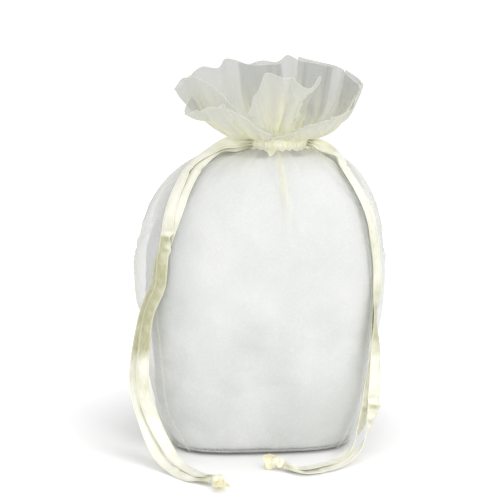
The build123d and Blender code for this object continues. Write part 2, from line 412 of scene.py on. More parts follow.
def weave(n):
    """Plain weave between 0 and 1 on the cloth's map."""
    threads = []
    for place in n.split(n.cloth_map())[:2]:
        swing = n.maths("SINE", n.times(place, 2 * math.pi / THREAD_PITCH))
        threads.append(n.maths("MULTIPLY_ADD", swing, 0.5, 0.5))
    return n.maths("MAXIMUM", *threads)


def organza(name, opacity, edge_opacity, colour, cream, glow_share=0.38, inner=None, shade=1, lift=0):
    """Sheer crisp cloth: denser when seen edge on, and creamier where its tint says that layers meet.

    Its back may have a darker colour of its own, which is painted shade. Shade is the share of its density
    that shadow and diffuse rays meet, and lift is the strength of a painted glow, an emission that stands in
    for the light that gathered layers pass on between themselves.
    """
    n = Nodes(name)
    place, tint, threads = n.place(), n.tint(), weave(n)
    facing = n.add("ShaderNodeLayerWeight", {"Blend": 0.5}).outputs["Facing"]
    cloud = n.range(n.noise(place, 90), 0.3, 0.7)
    glint = n.range(n.noise(place, 1400, 2, 0.7), 0.45, 0.75)
    edge = n.maths("POWER", facing, 2.2)
    dense = n.maths("MULTIPLY_ADD", edge, edge_opacity - opacity, opacity)
    dense = n.plus(dense, n.times(tint, 0.45))
    dense = n.plus(dense, n.times(n.maths("SUBTRACT", threads, 0.6), 0.08))
    dense = n.plus(dense, n.times(glint, 0.05), clamp=True)
    ray = n.add("ShaderNodeLightPath").outputs
    unseen = n.maths("MAXIMUM", ray["Is Shadow Ray"], ray["Is Diffuse Ray"])
    dense = n.times(dense, n.range(unseen, 0, 1, 1, shade))
    warmth = n.plus(n.times(tint, 0.75), n.times(edge, 0.3), clamp=True)
    # Painted shade: the back of the cloth takes the darker inner colour where one is given.
    inside = n.add("ShaderNodeNewGeometry").outputs["Backfacing"]
    base = n.mix(warmth, n.mix(inside, colour, inner or colour), cream)
    base = n.mix(n.times(cloud, 0.08), base, (0.72, 0.74, 0.72))
    relief = n.relief(n.plus(n.times(threads, 0.3), n.noise(place, 240)), 0.25, 0.0002)
    # Painted glow: the emission, of strength lift, lights the cloth though it is no lamp.
    cloth = n.surface(base, n.range(threads, 0, 1, 0.42, 0.58), relief, {
        "Sheen Weight": 0.35, "Sheen Roughness": 0.4, "Specular IOR Level": 0.35, "Emission Color": base,
        "Emission Strength": lift})
    clear = n.add("ShaderNodeBsdfTransparent", {"Color": (1, 1, 1, 1)}).outputs[0]
    body = n.glowing(glow_share, cloth, base, relief)
    return n.finish(n.add("ShaderNodeMixShader", {0: dense, 1: clear, 2: body}).outputs[0])


def satin(name, light, dark):
    """Woven satin ribbon with ribbed selvages and painted shade. The map runs 0 to 1 across and in
    millimetres along.
    """
    n = Nodes(name)
    cloth_map, place, tint = n.cloth_map(), n.place(), n.tint()
    split = n.split(cloth_map)
    across = n.maths("ABSOLUTE", n.maths("SUBTRACT", split[0], 0.5))
    selvage = n.range(across, 0.385, 0.41)
    groove = n.maths("ABSOLUTE", n.maths("SUBTRACT", across, 0.39))
    groove = n.maths("SUBTRACT", 1, n.range(groove, 0, 0.03))
    rib = n.maths("SINE", n.times(split[1], 2 * math.pi / RIB_PITCH))
    rib = n.times(n.range(rib, -1, 1), selvage)
    stretch = n.add("ShaderNodeVectorMath", {0: cloth_map, 1: (26, 0.25, 1)}, operation="MULTIPLY")
    streak = n.noise(stretch.outputs[0], 1, 3, 0.6)
    painted_shade_and_tone = n.range(n.noise(place, 110, 2), 0.35, 0.68, -0.3, 0.35)
    painted_shade_and_tone = n.plus(tint, n.times(painted_shade_and_tone, n.range(tint, 0, 0.5, 0.45, 1)), clamp=True)
    # Painted shade: the tint, with some random tone, mixes the light colour towards the dark one.
    base = n.mix(painted_shade_and_tone, light, dark)
    base = n.mix(n.times(n.range(streak, 0.35, 0.65), 0.22), base, (0.98, 0.97, 0.9))
    base = n.mix(n.times(groove, 0.7), base, (0.62, 0.58, 0.32))
    base = n.mix(n.times(selvage, 0.35), base, (0.93, 0.92, 0.8))
    height = n.plus(n.times(rib, 0.9), n.times(streak, 0.5))
    height = n.plus(n.maths("SUBTRACT", height, groove), n.times(n.noise(place, 420), 1.2))
    rough = n.plus(n.range(streak, 0.3, 0.7, 0.24, 0.34), n.times(selvage, 0.25))
    return n.finish(n.surface(base, rough, n.relief(height, 0.4, 0.00015), {
        "Sheen Weight": 0.25, "Specular IOR Level": 0.7, "Anisotropic": 0.55, "Coat Weight": 0.12,
        "Coat Roughness": 0.25}))


def tissue(name):
    """White crumpled tissue with soft grey mottling that is stronger low down."""
    n = Nodes(name)
    place = n.place()
    low = n.range(n.split(place)[2], 30 * MM, 130 * MM, 1.15, 0.45)
    cloud = n.times(n.range(n.noise(place, 34, 5, 0.6), 0.40, 0.66), low, clamp=True)
    fine = n.range(n.noise(place, 130, 4, 0.6), 0.35, 0.7)
    base = n.mix(cloud, (0.96, 0.965, 0.96), (0.77, 0.785, 0.775))
    base = n.mix(n.times(fine, 0.25), base, (0.88, 0.89, 0.88))
    crumple = n.add("ShaderNodeTexVoronoi", {"Vector": place, "Scale": 55}, feature="F1")
    height = n.plus(crumple.outputs["Distance"], n.times(n.noise(place, 160, 5, 0.6), 0.8))
    relief = n.relief(height, 0.35, 0.002)
    paper = n.surface(base, n.range(fine, 0, 1, 0.8, 0.95), relief, {"Sheen Weight": 0.2})
    return n.finish(n.glowing(0.25, paper, base, relief))


def thread(name):
    """Twisted sewing thread."""
    n = Nodes(name)
    split = n.split(n.cloth_map())
    strand = n.range(n.maths("SINE", n.plus(n.times(split[0], 6), n.times(split[1], 9))), -1, 1)
    base = n.mix(n.times(strand, 0.5), (0.93, 0.91, 0.78), (0.78, 0.74, 0.52))
    relief = n.relief(n.plus(strand, n.noise(n.place(), 900)), 0.5, 0.0001)
    return n.finish(n.surface(base, n.range(strand, 0, 1, 0.5, 0.7), relief, {"Sheen Weight": 0.4}))


WHITE = (0.97, 0.975, 0.965)
CREAM = (0.96, 0.94, 0.66)
# The inner colour of the body's organza is painted shade on the cloth's back.
ORGANZA = organza("organza", 0.34, 0.66, WHITE, CREAM, inner=(0.68, 0.69, 0.68), shade=0.75)
# The base cloth's dark grey is painted shadow. Seen through the gap under the lifted front edge, it makes the
# dark line under the pouch.
BASE_PAINTED_SHADOW = organza("base_organza_painted_shadow", 0.96, 0.98, (0.30, 0.30, 0.29), (0.30, 0.30, 0.28), glow_share=0.1)
# The frill's grey is partly the organza's own colour and partly painted shade. Its darker inner colour is
# painted shade.
FRILL = organza(
    "frill_organza", 0.70, 0.90, (0.71, 0.72, 0.685), (0.96, 0.94, 0.62), inner=(0.49, 0.50, 0.48), shade=0.4)
HEM = organza("hem_organza", 0.5, 0.6, (0.93, 0.935, 0.90), CREAM)
# lift=0.1 gives the gathered casing a painted glow, an emission that brightens it where the frill shades it.
GATHERED = organza(
    "gathered_organza", 0.80, 0.95, (1, 0.995, 0.92), (1, 0.98, 0.74), 0.5, shade=0.6, lift=0.1)
SEAM = organza("seam_organza", 0.22, 0.5, (0.96, 0.96, 0.94), CREAM)
# SATIN's dark olive is the ribbons' painted shade.
SATIN = satin("satin", (0.94, 0.935, 0.81), (0.44, 0.435, 0.22))
SATIN_END = satin("satin_ends", (0.98, 0.95, 0.74), (0.80, 0.72, 0.34))
TISSUE = tissue("tissue")
THREAD = thread("thread")


# Body

SHEET_STEP = 1.6
# A strip's hidden flap is this wide at the neck, and lies this far under its neighbour.
UNDER_WIDTH = 15.5
SHINGLE = 0.35
BASE_CORNER = box_mm("base_panel")[1]
FIRST_CORNER = math.degrees(math.atan2(BASE_CORNER.y, BASE_CORNER.x))
CORNERS = [FIRST_CORNER, 180 - FIRST_CORNER, 180 + FIRST_CORNER, 360 - FIRST_CORNER]
CORNER_LEAN = 7.4
# The tuck down the front: its ends, its place across at the top and how far it leans from there.
TUCK_LOW, TUCK_HIGH = 110, 148
TUCK_X, TUCK_LEAN = 7.5, 2.6
# Creases across both gussets: the height of each at the middle, its slope and its length in degrees.
GUSSET_CREASES = [(118, 0.85, 26), (124, 0.95, 22), (104, 0.7, 30), (92, -0.5, 30), (62, 0.5, 34)]


def front_share(angle):
    """1 straight ahead and 0 from the sides round to the back."""
    return smooth(1.6 * np.cos(np.radians(turn_between(angle, 270))))


def tuck_side(angle, z, width, spread):
    """How far down the front tuck a place is, and how many widths of the tuck to its side."""
    down = np.clip((TUCK_HIGH - z) / (TUCK_HIGH - TUCK_LOW), 0, 1)
    return down, (skin_point(angle, z)[..., 0] - TUCK_X - TUCK_LEAN * down) / (width + spread * down)


def gusset_relief(angle, z):
    """Slanting creases and a hollow in both gussets."""
    relief = 0
    for centre in (0, 180):
        off = turn_between(angle, centre)
        gusset = smooth((40 - np.abs(off)) / 12)
        for start, slope, length in GUSSET_CREASES:
            line = z - start - slope * off
            along = bump(off - 0.15 * (start - 90), length)
            relief = relief + 0.75 * gusset * along * (bump(line, 1.3) - 0.5 * bump(line - 2.6, 2.2))
        hollow = bump(off, 20) * smooth((z - 4) / 24) * smooth((96 - z) / 60)
        relief = relief - 1.1 * gusset * hollow
    return relief


def body_relief(angle, z):
    """How far the fabric stands off the padding: gathers below the neck, gusset creases, the front tuck."""
    turn = np.radians(angle)
    near = smooth((z - 108) / 44)
    top = smooth((z - 132) / 19)
    wander = 0.5 * np.sin(2 * turn + 0.6) + 0.3 * np.sin(5 * turn + 1.9)
    fine = np.sin(37 * turn + 2.3 * wander + 0.06 * z)
    middle = np.sin(19 * turn + 3.1 * wander + 0.7) * (0.6 + 0.4 * np.sin(3 * turn + 1))
    broad = np.sin(9 * turn + 2 * wander + 2.1)
    relief = 0.42 * fine * top + 0.55 * middle * near * (1 - 0.6 * top) + 0.35 * broad * near
    relief = relief * (1 - 0.45 * front_share(angle) * (1 - top))
    side = tuck_side(angle, z, 0.7, 2.2)[1]
    shape = np.where(side < 0, bump(side, 0.45), bump(side, 1.25))
    ends = smooth((z - TUCK_LOW) / 6) * smooth((TUCK_HIGH + 3 - z) / 5)
    return relief + gusset_relief(angle, z) + 1.7 * shape * ends * front_share(angle)


def body_tint(angle, z):
    """Where the body's fabric lies in more than one layer, so it looks creamier."""
    top = smooth((z - 128) / 22)
    down, side = tuck_side(angle, z, 0.9, 2.4)
    tuck = bump(side, 1) * smooth((z - TUCK_LOW) / 8) * front_share(angle)
    creases = 0.22 * np.clip(body_relief(angle, z) - 0.2, 0, 1) * smooth((z - 118) / 20)
    return np.clip(0.12 * top ** 2 + creases + 0.5 * tuck * (1 - 0.6 * down), 0, 1)


FIELD_TURN = 3
FIELD_LOW = 1
FIELD_ROWS = 56


def settle_body():
    """How far the fabric stands off its plain shape once it has settled, by height and direction."""
    angle = np.arange(0, 360, FIELD_TURN)[None, :]
    z = np.linspace(FIELD_LOW, SKIN_HIGH, FIELD_ROWS)[:, None] + 0 * angle
    grid = skin_point(angle, z, body_relief(angle, z))
    seams = np.max([bump(turn_between(angle, cut_turn(corner, z)), 3) for corner in CORNERS], axis=0)
    ends = np.maximum(smooth((5 - z) / 3), smooth((z - 146) / 4))
    held = np.clip(ends + 0.6 * seams + 0.10, 0, 1)
    moved = settled(grid, held, 0.022, bending=0.3, frames=18, wrap=True) - grid
    return np.clip(np.sum(moved * plan_way(angle), axis=-1), -0.6, 1)


def settled_gap(angle, z):
    """The settled fabric's distance off its plain shape, between the places where it is known."""
    rows = np.clip((z - FIELD_LOW) / (SKIN_HIGH - FIELD_LOW), 0, 1) * (FIELD_ROWS - 1)
    place = (angle % 360) / FIELD_TURN
    share = place - place.astype(int)
    return look_up(SETTLED, rows, place, 0) * (1 - share) + look_up(SETTLED, rows, place, 1) * share


def neck_pull(grid, z):
    """Draws the skin's top edge in to the casing."""
    share = smooth((z - (SKIN_HIGH - 5)) / 5)[..., None]
    centre = np.array([NECK_X, 0, 0])
    flat = (grid - centre) * np.array([1, 1, 0])
    goal = centre + unit(flat) * (CASING_RADIUS - 0.6) + np.array([0, 0, CASING_LOW + 1.2])
    return grid * (1 - share) + goal * share


def bottom_lift(angle):
    """Height of the fabric's bottom edge, which lifts a little between the corners."""
    return 0.8 + 1.4 * front_share(angle) ** 2


def body_grid(z_rows, angle, under):
    """Points and tints of a piece of body fabric, set in a little where it lies under its neighbour."""
    z = np.maximum(z_rows, bottom_lift(angle)) + 0 * angle
    tucked = SHINGLE * smooth(under * 4 + 0 * z) * smooth((z - BEND_START) / 8)
    angle = angle + 0 * z
    grid = neck_pull(skin_point(angle, z, body_relief(angle, z) + settled_gap(angle, z) - tucked), z)
    grid[..., 2] -= tucked * smooth((z - SKIN_HIGH + 12) / 12)
    return grid, body_tint(angle, z)


def cut_turn(cut, z):
    """Direction of one of the body's cuts at a height. The corner seams lean outwards above the base."""
    if cut not in CORNERS:
        return cut + 0 * z
    way = 1 if CORNERS.index(cut) in (1, 3) else -1
    return cut + way * CORNER_LEAN * smooth(z / 26)


def bend_open(piece, node):
    """Bakes a piece's place into its mesh and hides the CAD node it stands for."""
    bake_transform(piece)
    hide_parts(node)


def body_sheet(wall, gather, first, last, under):
    """Upright strip of body fabric from base to neck, with a flap tucked under its lower neighbour."""
    rows = np.concatenate([np.linspace(0, BEND_START, 52), np.linspace(BEND_START, SKIN_HIGH, 42)[1:]])
    rows = rows[:, None]
    count = max(6, int(math.radians(last - first) * 60 / SHEET_STEP))
    starts, ends = cut_turn(first, rows), cut_turn(last, rows)
    own = starts + np.linspace(0, 1, count)[None, :] * ((ends - starts) % 360)
    parts = [body_grid(rows, own, 0)]
    if under:
        rows = rows[rows > BEND_START + 0.5][:, None]
        opened = smooth((rows - BEND_START) / (SKIN_HIGH - BEND_START))
        share = np.linspace(1, 0, 8)[None, :]
        reach = np.maximum(skin_radius((first + last) / 2, rows), CASING_RADIUS)
        parts.append(body_grid(rows, first - share * np.degrees(UNDER_WIDTH * opened / reach), share))
    sheets = [mesh_object("sheet", grid, ORGANZA, tint=tint) for grid, tint in parts]
    bend_open(join(f"{wall}_{gather}", sheets), wall)


def build_body():
    """The four walls as strips, each belonging to one gather, and cut at the corner seams."""
    cuts = sorted(CORNERS + [HALF + STEP * i for i in range(8)])
    for first, last in zip(cuts, cuts[1:] + [cuts[0] + 360]):
        middle = (first + last) / 2
        gather = GATHERS[int(((middle + HALF) % 360) // STEP)]
        wall = WALLS[sum(middle > corner for corner in CORNERS) % 4]
        body_sheet(wall, gather, first, last, under=first not in CORNERS)


def build_seams():
    """A folded seam allowance up each corner, standing a little proud."""
    for node, corner in zip(SEAMS, CORNERS):
        z = np.linspace(0.9, SKIN_HIGH - 1, 120)[:, None]
        shares = np.linspace(-1, 1, 9)[None, :]
        corner = cut_turn(corner, z)
        half = 0.85 * (0.4 + 0.6 * smooth((SKIN_HIGH - z) / 30))
        angle = corner + np.degrees(half * shares / skin_radius(corner, z))
        ridge = 0.2 + 0.5 * (1 - shares ** 2) + 0.08 * np.sin(z * 0.9) * (1 - shares ** 2)
        z = z + 0 * angle
        grid = skin_point(angle, z, body_relief(angle, z) * 0.9 + settled_gap(angle, z) + ridge)
        tint = 0.12 + 0.3 * smooth((z - 110) / 40)
        piece = mesh_object(node + "_fold", neck_pull(grid, z), SEAM, tint=tint)
        bend_open(piece, node)


def build_base():
    """The base cloth, coloured dark grey as painted shadow under the pouch, and the seam round its edge."""
    angle = np.arange(0, 360, 3.0)[None, :]
    shares = np.linspace(0.02, 1, 26)[:, None]
    reach = shares * (skin_radius(angle, np.full_like(angle, SKIN_LOW)) + 0.2)
    grid = reach[..., None] * plan_way(angle)
    grid[..., 2] = 0.25 + (bottom_lift(angle) - 0.25) * smooth((shares - 0.8) / 0.2)
    attach(mesh_object("base_cloth", grid, BASE_PAINTED_SHADOW, wrap=True, tint=0.3), "pouch", "base_panel")
    angle = np.arange(0, 360, 1.5)
    wave = 0.075 * np.sin(np.radians(angle) * 53)
    path = skin_point(angle, np.full_like(angle, SKIN_LOW), 0.25 + wave)
    path[:, 2] = bottom_lift(angle)
    sides = full_turn(10)[None, :]
    upright = np.array([[0, 0, 1]])
    grid = sweep(path, plan_way(angle), upright, 0.42 * np.cos(sides), 0.5 * np.sin(sides))
    grid = np.concatenate([grid, grid[:1]])
    attach(mesh_object("base_seam_roll", grid, SEAM, wrap=True, tint=0.1), "pouch", "base_seam")


PADDING_FLOOR = 6
PADDING_TOP = box_mm("tissue_padding")[1].z


def build_padding():
    """Crumpled white tissue that lines the pouch and leaves the gift space free."""
    angle = np.arange(0, 360, 2.0)[None, :]
    outer_z = np.linspace(2.6, PADDING_TOP + 1, 88)[:, None]
    side = 0.35 * bump(turn_between(angle, 0), 24) + bump(turn_between(angle, 180), 26)
    inset = 1.5 + 3.2 * side * smooth((outer_z - 20) / 40)
    inset = inset + 0.4 * smooth((outer_z - PADDING_TOP + 5) / 5)
    outer = skin_point(angle, outer_z, -inset)
    crumple = clouds(outer, 15, 3) * 1.1 + clouds(outer, 6, 8) * 0.4
    outer = skin_point(angle, outer_z, -inset - 0.5 + np.clip(crumple, -1.4, 0.7))
    inner_z = np.linspace(PADDING_TOP + 1.2, PADDING_FLOOR, 50)[:, None]
    inner = skin_point(angle, inner_z, -6.3 + 0 * angle)
    inner = skin_point(angle, inner_z, -6.5 + clouds(inner, 9, 5) * 1.3)
    rim = (outer[-1] + inner[0]) / 2 + np.array([0, 0, 0.3])
    rim[:, 2] += clouds(rim, 6, 2) * 0.6
    floor = [inner[-1] * np.array([s, s, 1]) for s in (0.75, 0.45, 0.02)]
    foot = [outer[0] * np.array([s, s, 1]) for s in (0.02, 0.5, 0.93)]
    for k, ring in enumerate(floor):
        ring[:, 2] = PADDING_FLOOR + clouds(ring, 9, 4 + k) * 0.8
    for ring, drop in zip(foot, (-0.7, -0.7, -0.5)):
        ring[:, 2] += drop
    grid = np.concatenate([np.array(foot), outer, rim[None], inner, np.array(floor)])
    attach(mesh_object("tissue_lining", grid, TISSUE, wrap=True), "pouch", "tissue_padding")


# Neck

# The hidden flaps of the casing and the petals reach this many degrees under their neighbours.
UNDER_TURN = 66
PUCKERS = 34


def neck_arc(gather):
    """Shares and directions across one gather's own arc, after the flap tucked under its lower neighbour."""
    start = GATHERS.index(gather) * STEP - HALF
    shares = np.concatenate([np.linspace(-1, 0, 22)[:-1], np.linspace(0, 1, 46)])
    return shares, start + shares * np.where(shares < 0, UNDER_TURN, STEP)


def pucker(angle):
    """Small irregular gathers of the casing, between -1 and 1."""
    turn = np.radians(angle)
    wander = 1.5 * np.sin(3 * turn + 0.4) + 1.1 * np.sin(7 * turn + 2)
    crests = 2 * np.abs(np.sin(PUCKERS / 2 * turn + wander)) ** 0.8 - 1
    return 0.65 * crests + 0.35 * np.sin(17 * turn + 1.3 + wander)


def neck_point(angle, reach, z):
    """Points at distances from the neck's axis, for arrays of directions and heights."""
    angle, reach, z = np.broadcast_arrays(angle, reach, z)
    return reach[..., None] * plan_way(angle) + np.stack([NECK_X + 0 * z, 0 * z, z], axis=-1)


def body_height(angle, reach):
    """Height of the body's cloth beside the casing, at distances from the neck's axis."""
    angle = angle[None, :]
    z = np.linspace(132, SKIN_HIGH, 60)[:, None] + 0 * angle
    cloth = neck_pull(skin_point(angle, z, body_relief(angle, z)), z)
    away = np.hypot(cloth[..., 0] - NECK_X, cloth[..., 1])
    heights = [np.interp(reach[:, i], away[::-1, i], cloth[::-1, i, 2]) for i in range(angle.size)]
    return np.stack(heights, axis=1)


def casing(gather):
    """Gathered tube of fabric with a bulge between its two rows of stitching, and a small heading below."""
    shares, angle = neck_arc(gather)
    radius, low, high = CASING_RADIUS, CASING_LOW, CASING_HIGH
    profile = curve_through([
        (radius - 2.6, high - 0.4), (radius - 1, high), (radius - 0.3, high - 1.4),
        (radius + 0.5, low + 0.55 * (high - low)), (radius - 0.1, low + 1.5), (radius - 0.6, low + 0.5)], 34)
    reach, z = profile[:, :1], profile[:, 1:]
    under = smooth(-shares * 3)
    tucked = 0.55 * under
    wave = pucker(angle)
    lift = np.interp(z, low + np.array([-2, 1, 4, 7]), [1.2, 0.45, 0.8, 0.5])
    turn = np.radians(angle)
    slant = 0.5 * np.sin(3 * turn + 1.2) + 0.25 * np.sin(8 * turn)
    tube_grid = neck_point(angle, reach - tucked + wave * lift, z + 0.2 * np.sin(turn * 29 + 1) + slant)
    tube_sheet = mesh_object("tube", tube_grid, GATHERED, tint=0.04 + 0.10 * (1 - wave[None, :]) ** 2)
    v = np.linspace(0, 1, 16)[:, None]
    tuft = bump(radius * np.cos(turn) + 3.4, 1.3) * front_share(angle)
    ragged = 0.7 * np.sin(turn * 29 + 1) + 0.6 * np.sin(turn * 13 + 2.2)
    out = radius - 0.8 - tucked + v * (3.4 + ragged + 6.5 * tuft)
    rise = (0.3 + 0.75 * (1 + wave) * v * (1 - 0.5 * v)) * (1 - under * 0.6)
    heading = neck_point(angle, out, body_height(angle, out) + rise)
    return [tube_sheet, mesh_object("heading", heading, GATHERED, tint=0.10 + 0.35 * tuft + 0.15 * (1 - v))]


def drawstrings(gather):
    """The two ribbons inside the casing, each running on under the next gather's."""
    shares, angle = neck_arc(gather)
    across = np.linspace(-1, 1, 9)[:, None]
    strips = []
    for place, radius in enumerate((CASING_RADIUS - 3.1, CASING_RADIUS - 1.9)):
        reach = radius - 0.45 * smooth(-shares * 2) + 0.25 * pucker(angle) - 0.15 * across ** 2
        z = EXIT_Z + across * 2.5 + 0.3 * np.sin(np.radians(angle) * 6 + place)
        uv = np.stack(np.broadcast_arrays((across + 1) / 2, np.radians(angle) * radius), axis=-1)
        strips.append(mesh_object("strip", neck_point(angle, reach, z), SATIN, uv=uv))
    return strips


def stitching(gather):
    """Short stitches along both edges of the casing."""
    first = GATHERS.index(gather) * STEP - HALF
    stitches = []
    count = 7
    for z in (CASING_LOW + 0.9, CASING_HIGH - 1.1):
        for i in range(count):
            start = first + STEP * (i + 0.2) / count
            angle = np.linspace(start, start + STEP * 0.62 / count, 7)
            reach = CASING_RADIUS - 0.25 + 0.35 * np.sin(np.linspace(0, np.pi, 7)) + 0.45 * pucker(angle)
            path = neck_point(angle, reach, z + 0.5 * np.sin(3 * np.radians(angle) + 1.2))
            stitches.append(tube("stitch", path, 0.13, THREAD))
    return stitches


# Each petal's hem from its lower to its higher direction, as points off the neck's axis and heights. The
# first two numbers say how many points at each end lie tucked behind the neighbours, and the next two how
# far the petal runs out before it rises and how low it then hangs.
PETALS = {
    "right": (3, 0, 0.42, -0.06, [
        (12, -24, 160), (22, -22, 163), (32, -15, 168), (39, -5, 175), (43.5, 5, 180.5), (43.5, 15, 183),
        (38, 25, 187)]),
    "back_right": (3, 0, 0.42, -0.02, [
        (42, -3, 179), (42, 8, 181), (40, 18, 183), (36, 26, 187.5), (30, 31, 189.5), (23, 34, 191),
        (15, 36, 193)]),
    "back": (3, 0, 0.40, 0, [
        (32, 27, 188), (25, 32, 189.5), (16, 35, 191), (9.5, 38, 193.5), (4, 36, 190.5), (-4, 38, 191),
        (-10.5, 37, 189.5), (-16.5, 35, 190)]),
    "back_left": (3, 3, 0.42, 0, [
        (6, 36, 189), (-2, 36, 189), (-11, 35, 189), (-19, 34, 192), (-24, 32, 192), (-28, 26, 188),
        (-35.5, 24, 189), (-40.5, 17, 186), (-45, 7, 183.5), (-46, -3, 180), (-43, -10, 181)]),
    "left": (0, 3, 0.38, 0.02, [
        (-41, 14, 184.5), (-47, 7, 184), (-49.5, -3, 180.5), (-45.5, -10, 185), (-40.5, -15, 187),
        (-35, -19, 183.5), (-29, -24, 179), (-23.5, -26, 173), (-17, -25, 167.5), (-10, -24, 163),
        (-3, -23, 160)]),
    "front_left": (0, 0, 0.33, 0.08, [
        (-41, -3, 178), (-44.5, -10, 174), (-46, -18, 169.5), (-40, -26, 171.5), (-33, -31, 173),
        (-24.5, -35, 172), (-13, -34, 165.5), (-5, -29, 159.5)]),
    "front": (3, 0, 0.24, 0.10, [
        (-26, -22, 164), (-22, -26, 167), (-18, -30, 168.5), (-15.8, -32, 171.5), (-13, -35, 181),
        (-9, -38, 189.5), (-2.5, -40, 188.5), (4, -40, 187), (12, -37, 183), (17.5, -34, 188),
        (17, -33, 184), (9.5, -35, 176), (6, -31, 167)]),
    "front_right": (3, 0, 0.34, 0.02, [
        (-6, -23, 158.5), (-1, -25, 158.5), (4, -27, 160), (9, -30, 163.3), (20.5, -34, 167.3),
        (29, -29, 168.8), (33, -21, 170.5), (38, -9, 175)]),
}
# The share along its hem at which a front petal has one sharp inward crease.
CREASES = {"front": 0.56, "front_left": 0.62, "front_right": 0.60}


def petal_sheet(gather, across=84, up=30):
    """A petal's smooth shape, with the direction of each column and its share along the hem."""
    low_hidden, high_hidden, outward, sag, hem = PETALS[gather]
    last = len(hem) - 1
    edge = curve_through(hem, across) + np.array([NECK_X, 0, 0])
    first = GATHERS.index(gather) * STEP - HALF
    marks = [0, low_hidden, last - high_hidden, last]
    turns = [first - (UNDER_TURN if low_hidden else 0), first, first + STEP]
    turns.append(first + STEP + (UNDER_TURN if high_hidden else 0))
    place = np.linspace(0, last, across)
    angle = np.interp(place, marks, turns)
    hidden = np.clip((marks[1] - place) / 2, 0, 1) + np.clip((place - marks[2]) / 2, 0, 1)
    reach = CASING_RADIUS - 0.5 - smooth(hidden * 2) + 0.5 * pucker(angle)
    foot = neck_point(angle, reach, CASING_HIGH - 0.4)
    rise = edge - foot
    first_pull = foot + rise * np.array([outward, outward, sag])
    second_pull = foot + rise * np.array([outward + 0.35, outward + 0.35, sag + 0.50])
    v = np.linspace(0, 1, up)[:, None, None]
    grid = foot * (1 - v) ** 3 + 3 * first_pull * v * (1 - v) ** 2 + 3 * second_pull * v ** 2 * (1 - v)
    return grid + edge * v ** 3, angle, place / last, v[..., 0]


def petal_folds(along, v, seed):
    """Five soft folds that widen from the casing to the hem, steep on one side."""
    folds = np.zeros_like(v * along)
    for k in range(5):
        line = 0.12 + 0.19 * k + 0.05 * math.sin(seed * 3 + k * 2.1) + 0.05 * math.sin(seed + 2 * k) * v
        width = 0.016 + 0.05 * v * (0.6 + 0.4 * math.sin(k * 1.7 + seed))
        size = 0.5 + 1.9 * v * (0.65 + 0.35 * math.cos(k * 2.3 + seed))
        off = (along - line) / width
        folds = folds + size * np.where(off < 0, bump(off, 0.7), bump(off, 1.6))
    return folds


def petal(gather):
    """One ruffle of the frill, from the casing to its hem."""
    grid, angle, along, v = petal_sheet(gather)
    along = along[None, :]
    seed = GATHERS.index(gather) * 1.7
    folds = petal_folds(along, v, seed)
    relief = pucker(angle) * (0.7 - 0.3 * front_share(angle)) * (1 - v) ** 1.3
    shape = folds
    if gather in CREASES:
        shape = folds - 3.2 * bump(along - CREASES[gather] - 0.02 * v, 0.018)
    relief = relief + shape * smooth(v * 4) * (1 - 0.35 * v)
    relief = relief + clouds(grid, 26, seed) * 0.9 * smooth(v * 2)
    grid = grid + normals_of(grid) * relief[..., None]
    held = np.maximum(1 - smooth(v * 9), 0.55 * smooth((v - 0.9) * 10)) + 0 * along
    grid = settled(grid, held, 0.03, bending=2.5, frames=24)
    streak = np.sin(41 * along + seed + 2 * np.sin(9 * along + seed)) * np.sin(17 * along + 2.3 * seed)
    cream = 0.9 * (1 - v) ** 1.6 + 0.20 * front_share(angle) * (1 - 0.6 * v)
    tint = np.clip(cream + (0.30 * folds + 0.45 * streak) * (1 - v) * smooth(v * 6), 0, 1)
    return [mesh_object("petal", grid, FRILL, tint=tint), tube("hem", grid[-1], 0.18, HEM, tint=0.1)]


def build_neck():
    """Each gather's casing, ribbons, stitches and petal, as one piece of each kind."""
    for gather in GATHERS:
        for make, name, slot, node in (
            (casing, "casing_gather", "organza_casing", "casing"),
            (drawstrings, "drawstring_ribbons", "satin_ribbon", "drawstrings"),
            (stitching, "casing_stitches", "thread", "stitching"),
            (petal, "frill_petal", "organza_frill", "frill"),
        ):
            attach(join(f"{name}_{gather}", make(gather)), f"gather_{gather}", f"{node}_{gather}")


# Ribbons

RIBBON_WIDTH = 6.35
RIBBON_THICKNESS = 0.3
# How far the upper and the lower strand lie off the skin.
OVER, UNDER = 2.2, 1.1


def laid(angle, z, gap):
    """Ribbon waypoint off the skin, with its width along the skin's outline."""
    before = skin_point(angle - 2, z)
    after = skin_point(angle + 2, z)
    below, above = skin_point(angle, z - 1), skin_point(angle, z + 1)
    slope = math.hypot(above[0] - below[0], above[1] - below[1]) / 2
    point = skin_point(angle, z, gap * math.hypot(1, slope))
    turn = math.degrees(math.atan2(after[1] - before[1], after[0] - before[0]))
    return (*point, turn)


def laid_all(gap, *places):
    """Ribbon waypoints off the skin at pairs of a direction and a height."""
    return [laid(angle, z, gap) for angle, z in places]


